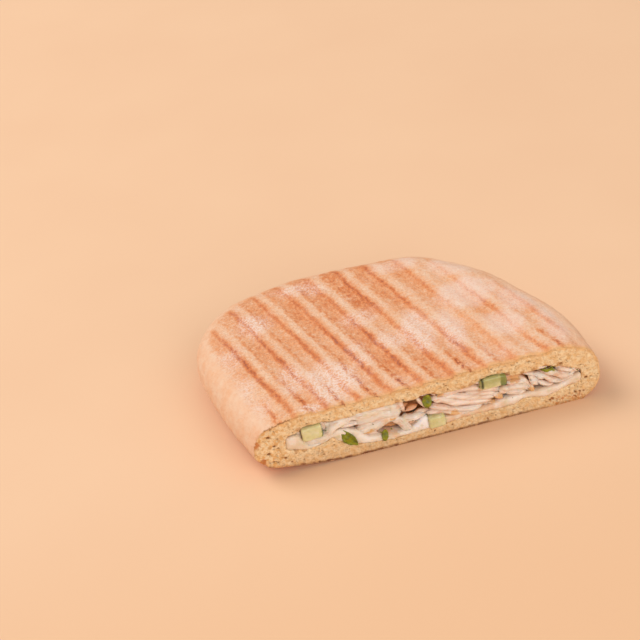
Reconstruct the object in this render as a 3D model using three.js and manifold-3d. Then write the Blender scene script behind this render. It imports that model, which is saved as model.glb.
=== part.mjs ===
// One cut half of a grilled chicken sandwich: a pressed flatbread with a filled pocket, on its underside.
// Millimetres, +Z up. X runs along the cut, Y from the cut face into the bread, Z up from the rest surface.
import * as THREE from 'three';
import { mergeVertices } from 'three/addons/utils/BufferGeometryUtils.js';
import Module from 'manifold-3d';

const wasm = await Module();
wasm.setup();

// Driving sizes of the bread
const CUT_LENGTH = 160;
const TOP_HEIGHT_LEFT = 29.2;
const TOP_HEIGHT_RIGHT = 30.6;
const EDGE_HEIGHT = 13;
const TOP_ROUNDING = 10;
const UNDER_ROUNDING = 11;
const SHOULDER_DROP = 2.4;
const SHOULDER_LEFT = 24;
const SHOULDER_RIGHT = 15;
const RIM_LIFT = 6.2;
const RIM_LIFT_REACH = 46;
const SIDE_LEAN = 0.2;
const SEAM_DEPTH = 2.2;

// Grill ridges: parallel bands pressed into the flat of the top
const RIDGE_PITCH = 13.85;
const RIDGE_WIDTH = 7;
const RIDGE_DEPTH = 0.7;
const RIDGE_FIRST = 14.1;
const RIDGE_COUNT = 10;
const RIDGE_REACH = 200;
const RIDGE_MIDDLE = 40;
const RIDGE_ANGLE = THREE.MathUtils.degToRad(105.5);

// Pocket and filling
const GAP = 0.3;
const POCKET_EDGE_LEFT = 15;
const POCKET_EDGE = 9;
const POCKET_LOW = 2.8;
const POCKET_MID = 13;
const POCKET_HIGH = 25.4;
const POCKET_ROUNDING = 7;
const FADE_DEPTH = 30;
const CORE_RECESS = 4.5;
const SAUCE_RECESS = 0.6;
const SHRED_PROUD = 2;
const DIE_PROUD = 0.6;
const LEAF_DEPTH = 1.2;
const LEAF_THICKNESS = 0.5;
const DEEP_FLOOR = 5.4;
const DEEP_CEILING = 20;
const DEEP_SAUCE = 3;
const HOLLOW = { at: [72.5, 4.6, 20], size: [6, 7, 4.6] };

// Faceting
const SNAP = 0.01;
const OUTLINE_STEPS = 58;
const RIM_STEPS = 4;
// Turn round the lower edge in degrees, with the share of the seam's depth taken there
const LOWER_RINGS = [[0, 0], [24, 0], [45, 0], [64, 0], [72, 0.2], [75.5, 1], [79, 0.1], [90, 0]];

// Plan of the whole loaf before the cut, seen from above; the cut runs along y = 0
const loafPlan = new THREE.CatmullRomCurve3(
  [
    [0, 0], [5, -25], [30, -60], [80, -70], [130, -55], [154, -25], [CUT_LENGTH, 0],
    [158, 32], [146, 64], [130, 92], [107, 114], [74, 119.5], [36, 119], [4, 108], [-12, 85], [-12, 56],
    [-6, 25],
  ].map(([x, y]) => new THREE.Vector3(x, y, 0)),
  true,
  'centripetal',
);

const smooth = (t) => THREE.MathUtils.smoothstep(t, 0, 1);
const clamp01 = (t) => THREE.MathUtils.clamp(t, 0, 1);

// A line of heights across the cut, eased from point to point
function profile(points) {
  return (x) => {
    const last = points.length - 1;
    if (x <= points[0][0]) return points[0][1];
    if (x >= points[last][0]) return points[last][1];
    const i = points.findIndex(([px]) => px > x) - 1;
    const [x0, z0] = points[i];
    const [x1, z1] = points[i + 1];
    return z0 + (z1 - z0) * smooth((x - x0) / (x1 - x0));
  };
}

// What the cut shows, left to right: where the filling starts, ends, and how high the sauce stands
const floorAtCut = profile([
  [14, 13], [19, 10.4], [29, 9.8], [37.5, 13.6], [41, 6], [60, 3.6], [79, 4.2], [86, 4.4], [92, 5.8],
  [104, 6],
  [111, 5.4], [118, 5.6], [123, 7.8], [128, 7.6], [132, 5.8], [136, 6], [142, 8.2], [148, 9], [152, 11],
]);
const ceilingAtCut = profile([
  [14, 17.4], [17, 19.2], [20.4, 19.6], [24.2, 22.5], [31, 22.5], [37, 21.2], [60, 22.2], [66, 22.6],
  [73.7, 21.6], [77.5, 23.2], [81.3, 23], [85, 21.4], [100, 21.6], [104, 23.6], [108, 24.6], [112, 24.6],
  [115.5, 23.8], [119, 21.4],
  [130, 21.3], [134.6, 22.3], [139, 20.8], [151, 16],
]);
const sauceAtCut = profile([
  [14, 18.6], [20.4, 18.4], [24.2, 11.8], [30, 10.8], [36, 15.2], [40, 15.8], [46, 14], [50, 8], [66, 5.6],
  [73, 7], [75.5, 11.4], [79, 11.4], [82, 8], [94, 8], [106, 8.2], [112, 9.6], [119, 9.8], [124, 9.9],
  [136, 10], [142, 10.8], [147, 13.2], [152, 14.8],
]);

// Further into the bread the lumps at the cut fade to an even layer
function fading(atCut, deep) {
  return (x, y) => THREE.MathUtils.lerp(atCut(x), deep(x, y), smooth(y / FADE_DEPTH));
}

const endRise = (x) => 4 * (1 - smooth((x - 10) / 40));
const pocketFloor = fading(floorAtCut, (x) => DEEP_FLOOR + endRise(x));
const pocketCeiling = fading(ceilingAtCut, () => DEEP_CEILING);
const sauceTop = fading(sauceAtCut, (x, y) => (
  DEEP_FLOOR + DEEP_SAUCE + endRise(x) + 0.8 * Math.sin(x * 0.14) * Math.cos(y * 0.11)
));

// The pressed top climbs a little from left to right
const topHeight = (x) => THREE.MathUtils.lerp(TOP_HEIGHT_LEFT, TOP_HEIGHT_RIGHT, smooth((x - 30) / 110));

// The underside turns up towards the left end, where the dough was thinner
function underLift(x, y) {
  const inside = clamp01((RIM_LIFT_REACH - x - SIDE_LEAN * y) / RIM_LIFT_REACH);
  return RIM_LIFT * inside ** 1.5;
}

// Points round the plan, each with its inward direction
function planStations() {
  return Array.from({ length: OUTLINE_STEPS }, (_, i) => {
    const point = loafPlan.getPointAt(i / OUTLINE_STEPS);
    const along = loafPlan.getTangentAt(i / OUTLINE_STEPS);
    return { point, inward: new THREE.Vector3(-along.y, along.x, 0) };
  });
}

// A closed skin through rings of equal length, capped by a fan at its first and last ring
function solidFromRings(rings) {
  const steps = rings[0].length;
  const positions = rings.flat().flatMap((p) => [p.x, p.y, p.z]);
  const faces = [];
  for (let r = 0; r < rings.length - 1; r += 1) {
    for (let i = 0; i < steps; i += 1) {
      const a = r * steps + i;
      const b = r * steps + (i + 1) % steps;
      faces.push(a, b, b + steps, a, b + steps, a + steps);
    }
  }
  const caps = [[rings[0], 0, true], [rings[rings.length - 1], (rings.length - 1) * steps, false]];
  for (const [ring, start, below] of caps) {
    const middle = ring.reduce((sum, p) => sum.add(p), new THREE.Vector3()).divideScalar(steps);
    const centre = positions.length / 3;
    positions.push(middle.x, middle.y, middle.z);
    for (let i = 0; i < steps; i += 1) {
      const next = (i + 1) % steps;
      if (below) faces.push(centre, start + next, start + i);
      else faces.push(centre, start + i, start + next);
    }
  }
  return new wasm.Manifold(
    new wasm.Mesh({
      numProp: 3,
      vertProperties: new Float32Array(positions),
      triVerts: new Uint32Array(faces),
    }),
  );
}

function solidFromGeometry(geometry) {
  const bare = geometry.clone();
  bare.deleteAttribute('normal');
  bare.deleteAttribute('uv');
  const merged = mergeVertices(bare, 1e-4);
  return new wasm.Manifold(
    new wasm.Mesh({
      numProp: 3,
      vertProperties: new Float32Array(merged.attributes.position.array),
      triVerts: new Uint32Array(merged.index.array),
    }),
  );
}

function box(low, high) {
  const size = new THREE.Vector3(...high).sub(new THREE.Vector3(...low));
  const middle = new THREE.Vector3(...low).addScaledVector(size, 0.5);
  const box = new THREE.BoxGeometry(size.x, size.y, size.z);
  return solidFromGeometry(box.translate(middle.x, middle.y, middle.z));
}

// The middle of the bread, where the flat rings of its top and underside draw in to, and its hand-made wobble
const heart = new THREE.Vector3(78, 36, 0);
const wobble = (i) => 0.35 * Math.sin(i * 0.55) + 0.25 * Math.sin(i * 1.3 + 1);

// The loaf is rings stacked from the flat underside, round the rim, over the shoulder to the pressed top
function makeLoaf() {
  const stations = planStations();
  const rings = [];
  const addRing = (inset, height) => {
    rings.push(stations.map(({ point, inward }, i) => {
      const p = point.clone().addScaledVector(inward, inset(point) + wobble(i));
      p.z = height(p, point);
      return p;
    }));
  };
  // Round the back the loaf is slit at the rim, closed to a crease
  const seam = (point) => SEAM_DEPTH * smooth((point.y - 14) / 14);
  for (const [degrees, seamShare] of LOWER_RINGS) {
    const turn = THREE.MathUtils.degToRad(degrees);
    addRing(
      (point) => UNDER_ROUNDING * (1 - Math.sin(turn)) + seamShare * seam(point),
      (p) => {
        const lift = underLift(p.x, p.y);
        return lift + (EDGE_HEIGHT - lift) * (1 - Math.cos(turn));
      },
    );
  }
  rings.unshift(rings[0].map((p) => {
    const q = p.clone().lerp(heart, 0.3);
    q.z = underLift(q.x, q.y);
    return q;
  }));
  const shoulderHeight = (p) => topHeight(p.x) - SHOULDER_DROP;
  for (let i = 1; i <= RIM_STEPS; i += 1) {
    const turn = (i / RIM_STEPS) * Math.PI / 2;
    addRing(
      () => TOP_ROUNDING * (1 - Math.cos(turn)),
      (p) => EDGE_HEIGHT + (shoulderHeight(p) - EDGE_HEIGHT) * Math.sin(turn),
    );
  }
  const shoulderWidth = (point) => (
    THREE.MathUtils.lerp(SHOULDER_LEFT, SHOULDER_RIGHT, smooth((point.x + 10) / 60))
  );
  for (const part of [0.5, 1]) {
    addRing(
      (point) => THREE.MathUtils.lerp(TOP_ROUNDING, shoulderWidth(point), part),
      (p) => shoulderHeight(p) + SHOULDER_DROP * Math.sin(part * Math.PI / 2),
    );
  }
  for (const part of [0.35, 0.7]) {
    rings.push(rings[rings.length - 1].map((p) => {
      const q = p.clone().lerp(heart, part);
      q.z = topHeight(q.x);
      return q;
    }));
  }
  return solidFromRings(rings);
}

// The pocket is the same plan drawn in by the rim's thickness, cut to its own floor and ceiling
function makePocket(clearance) {
  const stations = planStations();
  const edge = (point) => THREE.MathUtils.lerp(POCKET_EDGE_LEFT, POCKET_EDGE, smooth((point.x + 5) / 40));
  const ring = (turn, limit) => stations.map(({ point, inward }) => {
    const inset = edge(point) + clearance + POCKET_ROUNDING * (1 - Math.cos(turn));
    const p = point.clone().addScaledVector(inward, inset);
    p.z = POCKET_MID + (limit - POCKET_MID) * Math.sin(turn);
    return p;
  });
  const turns = [90, 55, 25].map(THREE.MathUtils.degToRad);
  const lower = turns.map((turn) => ring(turn, POCKET_LOW));
  const upper = turns.map((turn) => ring(turn, POCKET_HIGH)).reverse();
  return solidFromRings([...lower, ring(0, POCKET_HIGH), ...upper])
    .intersect(slabUnder((x, y) => pocketCeiling(x, y) - clearance, -5))
    .subtract(slabUnder((x, y) => pocketFloor(x, y) + clearance, -5));
}

// Bands pressed down by the ridges of the grill, as deep as the flat of the top allows
function makeRidges() {
  const along = new THREE.Vector3(Math.cos(RIDGE_ANGLE), Math.sin(RIDGE_ANGLE), 0);
  const across = new THREE.Vector3(Math.sin(RIDGE_ANGLE), -Math.cos(RIDGE_ANGLE), 0);
  const up = new THREE.Vector3(0, 0, 1);
  const flank = 0.8;
  const clear = 3;
  const section = new THREE.Shape([
    new THREE.Vector2(0, clear), new THREE.Vector2(0, 0), new THREE.Vector2(flank, -RIDGE_DEPTH),
    new THREE.Vector2(RIDGE_WIDTH - flank, -RIDGE_DEPTH), new THREE.Vector2(RIDGE_WIDTH, 0),
    new THREE.Vector2(RIDGE_WIDTH, clear),
  ]);
  const bands = Array.from({ length: RIDGE_COUNT }, (_, i) => {
    const offset = RIDGE_FIRST + i * RIDGE_PITCH;
    const middle = across.clone().multiplyScalar(offset).addScaledVector(along, RIDGE_MIDDLE);
    const sweep = { depth: RIDGE_REACH, bevelEnabled: false, steps: 1 };
    const geometry = new THREE.ExtrudeGeometry(section, sweep);
    geometry.translate(0, 0, -RIDGE_REACH / 2);
    geometry.applyMatrix4(new THREE.Matrix4().makeBasis(across, up, along.clone().negate()));
    geometry.translate(middle.x, middle.y, topHeight(middle.x));
    return solidFromGeometry(geometry);
  });
  return bands.reduce((sum, band) => sum.add(band));
}

// Everything under a wavy surface, for parting the layers of the filling; rows crowd towards the cut
function slabUnder(surface, low) {
  const columns = 46;
  const rows = 5;
  const [left, right, front, back] = [-10, 165, -8, 118];
  const geometry = new THREE.BoxGeometry(1, 1, 1, columns, rows, 1);
  const position = geometry.attributes.position;
  for (let i = 0; i < position.count; i += 1) {
    const x = THREE.MathUtils.lerp(left, right, position.getX(i) + 0.5);
    const y = THREE.MathUtils.lerp(front, back, (position.getY(i) + 0.5) ** 1.7);
    position.setXYZ(i, x, y, position.getZ(i) > 0 ? surface(x, y) : low);
  }
  return solidFromGeometry(geometry);
}

// Shreds of chicken that show in the cut: a line of [x, z] points, width, thickness and depth behind the cut
const SHREDS = [
  { line: [[23, 12.8], [29, 12.5], [34, 15], [38, 18.4], [46, 19.4]], wide: 4.2, thick: 4.6, depth: 0.2 },
  { line: [[31.5, 19.4], [36, 20]], wide: 2.4, thick: 4, depth: 1.6 },
  { line: [[45, 20.1], [55, 20.8], [64, 20.6], [68.2, 18.2]], wide: 3.8, thick: 5, depth: 0.2 },
  { line: [[46, 16.6], [55, 17.2], [62, 17.8], [67.8, 17.2]], wide: 4.6, thick: 5.4, depth: 0 },
  { line: [[46.5, 13], [54, 12.8], [61, 14.6], [66.5, 15.4]], wide: 4.4, thick: 5, depth: 0.3 },
  { line: [[48, 10.9], [55, 10.7], [60, 12.4]], wide: 2.4, thick: 4, depth: 0.8 },
  { line: [[62.5, 13.2], [66.5, 11.6], [69, 8.6], [71.5, 5]], wide: 3.8, thick: 4.4, depth: 0.3 },
  { line: [[67.5, 12.4], [73, 12.2], [79, 12.6]], wide: 3.2, thick: 4.4, depth: 0.8 },
  { line: [[69.5, 14.8], [73, 15.9], [76.5, 16.2]], wide: 2.6, thick: 4, depth: 2.6 },
  { line: [[69, 19.4], [78, 19.2]], wide: 2.4, thick: 3.4, depth: 4.8 },
  { line: [[75.2, 22.4], [76.9, 19.4], [78.8, 15.6]], wide: 2, thick: 4.4, depth: 0.6 },
  { line: [[85, 20.2], [94, 20.6], [102, 19.2], [108, 17.3], [114, 15.7]], wide: 2.9, thick: 4.6, depth: 0.7 },
  {
    line: [[81, 19], [86, 17.8], [90, 15.8], [95, 13.7], [103, 11.6], [110, 10.4]],
    wide: 3.8,
    thick: 5,
    depth: 0.3,
  },
  {
    line: [[80.4, 15.9], [84, 14.6], [88, 12.6], [92, 10.6], [97, 9.2], [105, 8.6]],
    wide: 2.6,
    thick: 5,
    depth: 0.4,
  },
  {
    line: [[79.2, 13], [83, 12], [87.5, 10.6], [92, 8.9], [99, 7.8], [106, 7.6]],
    wide: 2.6,
    thick: 4.6,
    depth: 0.7,
  },
  { line: [[86, 19.2], [92, 17.7], [98, 15.9], [106, 13.6], [112.5, 12.4]], wide: 3.2, thick: 4.8, depth: 0.5 },
  { line: [[109, 14.4], [112, 12.6], [114.6, 10.2]], wide: 3.4, thick: 4.6, depth: 0.2 },
  { line: [[107, 9.8], [112, 8.6]], wide: 2.6, thick: 4, depth: 1 },
  { line: [[115, 19.6], [120, 19.2], [125.5, 17]], wide: 3.8, thick: 4, depth: 2.2 },
  { line: [[116, 17.2], [121, 17.1], [126, 15.4]], wide: 2.2, thick: 4.4, depth: 1.1 },
  { line: [[113.5, 15.6], [119, 14.9], [124, 14], [126.6, 12.6]], wide: 3, thick: 4.8, depth: 0.3 },
  { line: [[115, 13], [120, 11.6], [125.4, 11]], wide: 3, thick: 4.8, depth: 0.4 },
  { line: [[126.4, 14.6], [128, 11.4], [129, 8.4]], wide: 2.8, thick: 3.8, depth: 1.3 },
  { line: [[130.8, 14.6], [134.5, 11.9], [139, 10.9]], wide: 2.6, thick: 4.4, depth: 0.8 },
  { line: [[129.5, 18.7], [134, 16.3], [138, 13.4], [143, 12]], wide: 2.8, thick: 4.8, depth: 0.4 },
  { line: [[133.5, 19.3], [139, 17], [143, 14.4], [147, 13]], wide: 3, thick: 4.8, depth: 0.3 },
  { line: [[139.5, 19.4], [144, 17.6], [148.6, 14.6]], wide: 2.8, thick: 4.6, depth: 0.5 },
  { line: [[144, 19], [148, 16.8]], wide: 1.8, thick: 4, depth: 1.4 },
  { line: [[137, 12.7], [143, 12.7], [148.8, 14]], wide: 2.6, thick: 4.6, depth: 0.5 },
  { line: [[125, 20], [128.6, 18.8], [131.4, 16.8]], wide: 2.4, thick: 4, depth: 1.6 },
  { line: [[21, 20.4], [22.4, 15.6]], wide: 2.8, thick: 4, depth: 1 },
  { line: [[111.7, 17.2], [115.1, 12.6]], wide: 3.1, thick: 4.1, depth: 1.5 },
  { line: [[129, 16.8], [133.5, 11.6]], wide: 2.4, thick: 4, depth: 2 },
  { line: [[81.4, 22.6], [85.4, 20.4]], wide: 2.4, thick: 4, depth: 1.3 },
  { line: [[98, 17.9], [105, 15.9], [112, 13.9]], wide: 2.6, thick: 4.2, depth: 0.8 },
];

// One shred: an oval strip swept along its line, thin at both ends
function makeShred({ line, wide, thick, depth }, index) {
  const sides = 6;
  const along = new THREE.CatmullRomCurve3(line.map(([x, z], i) => (
    new THREE.Vector3(x, depth + thick / 2 + 0.5 * Math.sin(index * 2.1 + i * 1.9), z)
  )));
  const steps = 2 * line.length;
  const rings = Array.from({ length: steps + 1 }, (_, i) => {
    const t = i / steps;
    const centre = along.getPointAt(t);
    const heading = along.getTangentAt(t);
    const upward = new THREE.Vector3(-heading.z, 0, heading.x).normalize();
    const taper = 0.45 + 0.55 * Math.sin(Math.PI * THREE.MathUtils.clamp(t, 0.08, 0.92)) ** 0.5;
    return Array.from({ length: sides }, (__, k) => {
      const turn = -(k / sides) * Math.PI * 2;
      const ragged = taper * (1 + 0.1 * Math.sin(index * 3 + i * 2 + k * 1.7));
      return centre.clone()
        .addScaledVector(upward, Math.cos(turn) * wide * 0.5 * ragged)
        .add(new THREE.Vector3(0, Math.sin(turn) * thick * 0.5 * ragged, 0));
    });
  });
  return solidFromRings(rings);
}

// A hollow between the shreds, deeper than the rest of the cut
function makeHollow() {
  const { at, size } = HOLLOW;
  return solidFromGeometry(new THREE.SphereGeometry(1, 12, 8).scale(...size).translate(...at));
}

// Cucumber dice that show in the cut: middle as [x, z], size as [x, y, z] and a turn about Y
const DICE = [
  { at: [27.1, 18.6], size: [8.4, 7, 5.8], turn: 4, tint: '#d3dc98' },
  { at: [82.9, 7.8], size: [6.8, 6.5, 5.2], turn: 3, tint: '#ccdc9c' },
  { at: [110, 21.5], size: [11.4, 7, 4.8], turn: 0, tint: '#c2d6a0' },
];

function makeDie({ at, size, turn }, grow) {
  const [x, z] = at;
  const geometry = new THREE.BoxGeometry(size[0] + 2 * grow, size[1] + 2 * grow, size[2] + 2 * grow);
  geometry.rotateY(THREE.MathUtils.degToRad(-turn));
  geometry.translate(x, size[1] / 2 - DIE_PROUD, z);
  return solidFromGeometry(geometry);
}

// Torn herb leaves that show in the cut: middle as [x, z], length, width and a turn about Y
const LEAVES = [
  { at: [42.9, 9.7], length: 11.6, width: 5.4, turn: -62 },
  { at: [79.5, 19.7], length: 6.8, width: 4.4, turn: 85 },
  { at: [58.9, 7], length: 5.6, width: 3.2, turn: 80 },
  { at: [135.6, 20], length: 6.6, width: 1.8, turn: -18 },
];

// A leaf is a thin wavy blade whose two faces are split alike
function makeLeaf({ at, length, width, turn }, grow) {
  const blades = 5;
  const thickness = LEAF_THICKNESS + 2 * grow;
  const geometry = new THREE.BoxGeometry(length + 2 * grow, thickness, width + 2 * grow, blades, 1, 2);
  const position = geometry.attributes.position;
  for (let i = 0; i < position.count; i += 1) {
    const [x, y, z] = [position.getX(i), position.getY(i), position.getZ(i)];
    const narrow = Math.max(0.3, 1 - (Math.abs(x) / (0.62 * length)) ** 2);
    position.setXYZ(i, x, y + 0.5 * Math.sin(x * 0.9) - 0.06 * z * z, z * narrow);
  }
  geometry.rotateY(THREE.MathUtils.degToRad(-turn));
  geometry.translate(at[0], LEAF_DEPTH, at[1]);
  return solidFromGeometry(geometry);
}

const behindCut = (recess) => box([-40, recess, -10], [200, 150, 60]);

function makeBread() {
  return makeLoaf().intersect(behindCut(0)).subtract(makePocket(0)).subtract(makeRidges());
}

function makeFilling() {
  const mould = makePocket(GAP);
  const toppings = [...DICE.map((die) => makeDie(die, GAP)), ...LEAVES.map((leaf) => makeLeaf(leaf, GAP))];
  const clear = toppings.reduce((sum, piece) => sum.add(piece));
  const sauce = mould.intersect(behindCut(SAUCE_RECESS)).intersect(slabUnder(sauceTop, -5)).subtract(clear);
  const core = behindCut(CORE_RECESS).subtract(makeHollow());
  const shreds = SHREDS.map(makeShred).reduce((sum, shred) => sum.add(shred), core);
  const chicken = shreds
    .intersect(mould)
    .intersect(behindCut(-SHRED_PROUD))
    .subtract(slabUnder((x, y) => sauceTop(x, y) + GAP, -5))
    .subtract(clear);
  return { sauce, chicken };
}

function largestPiece(solid) {
  return solid.decompose().sort((a, b) => b.volume() - a.volume())[0];
}

// Corners drawn onto a fine grid, so that cuts leave no slivers; faces that close up there are dropped
function snapped(solid) {
  const { vertProperties, triVerts } = solid.getMesh();
  const numbers = new Map();
  const positions = [];
  const corner = Array.from({ length: vertProperties.length / 3 }, (_, i) => {
    const place = [0, 1, 2].map((k) => Math.round(vertProperties[3 * i + k] / SNAP) * SNAP);
    const key = place.map((v) => v.toFixed(3)).join(' ');
    if (!numbers.has(key)) {
      numbers.set(key, positions.length / 3);
      positions.push(...place);
    }
    return numbers.get(key);
  });
  const faces = new Map();
  for (let i = 0; i < triVerts.length; i += 3) {
    const face = [0, 1, 2].map((k) => corner[triVerts[i + k]]);
    if (new Set(face).size < 3) continue;
    const key = [...face].sort((a, b) => a - b).join(' ');
    if (faces.has(key)) faces.delete(key);
    else faces.set(key, face);
  }
  return { positions, index: [...faces.values()].flat() };
}

function mesh(name, solid, colour, roughness) {
  const { positions, index } = snapped(largestPiece(solid));
  const geometry = new THREE.BufferGeometry();
  geometry.setAttribute('position', new THREE.Float32BufferAttribute(positions, 3));
  geometry.setIndex(index);
  geometry.computeVertexNormals();
  const material = new THREE.MeshStandardMaterial({ color: colour, roughness, metalness: 0 });
  const piece = new THREE.Mesh(geometry, material);
  piece.name = name;
  return piece;
}

const sandwich = new THREE.Group();
sandwich.add(mesh('bread', makeBread(), '#e3b487', 0.8));
const { sauce, chicken } = makeFilling();
sandwich.add(mesh('cream', sauce, '#f1ead8', 0.4));
sandwich.add(mesh('chicken', chicken, '#e8cfae', 0.55));
const room = makePocket(GAP);
DICE.forEach((die, i) => {
  sandwich.add(mesh(`cucumber_${i + 1}`, makeDie(die, 0).intersect(room), die.tint, 0.35));
});
LEAVES.forEach((leaf, i) => {
  sandwich.add(mesh(`herb_leaf_${i + 1}`, makeLeaf(leaf, 0).intersect(room), '#5d8a2e', 0.5));
});

// The origin is under the middle of the whole, at the surface it rests on
const bounds = new THREE.Box3().setFromObject(sandwich);
const middle = bounds.getCenter(new THREE.Vector3());
sandwich.position.set(-middle.x, -middle.y, -bounds.min.z);

export default sandwich;
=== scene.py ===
# %% [markdown]
# Half of a grilled chicken sandwich: a flatbread pressed in a ribbed grill, cut across, with shredded
# chicken, a pale sauce, cucumber dice and torn herb leaves showing at the cut. The solids of the model give
# every piece its place and size. Here each of them gets the surface that the eye expects of food: a crust
# with scorched bands and flour, an open crumb, fibres in the meat and a wet sauce.

# %% The frame that everything is built around
import math
import random

import bmesh
import bpy
from mathutils import Matrix, Vector, kdtree, noise
from mathutils.bvhtree import BVHTree


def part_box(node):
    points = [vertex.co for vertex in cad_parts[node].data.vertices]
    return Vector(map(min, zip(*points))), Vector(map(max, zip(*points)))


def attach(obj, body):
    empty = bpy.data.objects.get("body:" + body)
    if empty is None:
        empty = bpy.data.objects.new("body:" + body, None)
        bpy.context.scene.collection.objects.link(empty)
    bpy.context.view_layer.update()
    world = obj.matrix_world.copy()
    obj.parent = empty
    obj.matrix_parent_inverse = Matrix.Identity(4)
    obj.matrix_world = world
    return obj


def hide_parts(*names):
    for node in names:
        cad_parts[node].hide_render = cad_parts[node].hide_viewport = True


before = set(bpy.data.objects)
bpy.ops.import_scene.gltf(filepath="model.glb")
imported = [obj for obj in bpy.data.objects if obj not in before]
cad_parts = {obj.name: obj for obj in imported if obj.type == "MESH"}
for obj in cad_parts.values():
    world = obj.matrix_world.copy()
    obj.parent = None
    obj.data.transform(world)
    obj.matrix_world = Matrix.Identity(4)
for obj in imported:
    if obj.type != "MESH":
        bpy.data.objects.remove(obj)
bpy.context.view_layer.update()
MM = 0.001
BULGE_LEFT = 13.2  # how far the loaf bulges out to the left of where the cut starts
bread_low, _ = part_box("bread")
cut_left = bread_low.x + BULGE_LEFT * MM
cut_front = bread_low.y
print("nodes:", sorted(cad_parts))


def at(u, y, z):
    """A place in millimetres: along the cut from its left end, into the bread, and up."""
    return Vector((cut_left + u * MM, cut_front + y * MM, z * MM))


def sandwich_mm(place):
    """The same three measures, in millimetres, of a place in metres."""
    return Vector((place.x - cut_left, place.y - cut_front, place.z)) / MM


# %% [markdown]
# The camera stands where the photographer stood: a long lens looks down on the cut from a little to the
# left. The camera is rolled slightly, because the bread in the picture leans to one side, and rolling
# the camera gives that view while the sandwich itself rests flat.

# %% Camera
LENS = 90
SENSOR_WIDTH = 36
# Where the camera stands in the sandwich's own measures, where it looks, and which way its top points
EYE = (-33.02, -551.96, 442.49)
LOOK = Vector((0.10807, 0.8275, -0.55097))
HEAD = Vector((0.23571, 0.51708, 0.82284))

lens = bpy.data.cameras.new("camera")
lens.lens = LENS
lens.sensor_width = SENSOR_WIDTH
camera = bpy.data.objects.new("camera", lens)
bpy.context.scene.collection.objects.link(camera)
side = LOOK.cross(HEAD).normalized()
turn = camera.matrix_world.to_3x3()
for axis, way in enumerate((side, side.cross(LOOK).normalized(), -LOOK.normalized())):
    turn.col[axis] = way
camera.matrix_world = turn.to_4x4()
camera.location = at(*EYE)
bpy.context.scene.camera = camera
print("camera at", [round(c, 3) for c in camera.location])

# %% [markdown]
# Materials are written as sums. A Wire holds one output of a node and knows how to add, multiply and divide,
# so that a pattern reads like a formula. Doing it this way keeps the formula visible, which a picture of a
# node tree doesn't.

# %% Shader maths: a wire
class Wire:
    """One output of a node; arithmetic with it adds Math nodes."""

    def __init__(self, finish, socket):
        self.finish = finish
        self.socket = socket

    def maths(self, operation, *others):
        return self.finish.node("Math", {"operation": operation}, dict(enumerate((self, *others))))

    def __add__(self, other):
        return self.maths("ADD", other)

    def __sub__(self, other):
        return self.maths("SUBTRACT", other)

    def __rsub__(self, other):
        return self.finish.node("Math", {"operation": "SUBTRACT"}, {0: other, 1: self})

    def __mul__(self, other):
        return self.maths("MULTIPLY", other)

    def __truediv__(self, other):
        return self.maths("DIVIDE", other)

    def __pow__(self, other):
        return self.maths("POWER", other)

    def __abs__(self):
        return self.maths("ABSOLUTE")

    __radd__ = __add__
    __rmul__ = __mul__


print("a wire turns each sign of a formula into a Math node")

# %% [markdown]
# A Finish is one material. Its pattern is laid out in millimetres from the left end of the cut, so that the
# numbers are the same ones as in the shapes. It makes nodes, mixes colours and ends in a single shader.

# %% Shader maths: a finish
# The Mix node has a socket for each kind of data, and these are the ones for colours
MIX_FIRST = 6
MIX_SECOND = 7
MIX_OUT = 2


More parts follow.
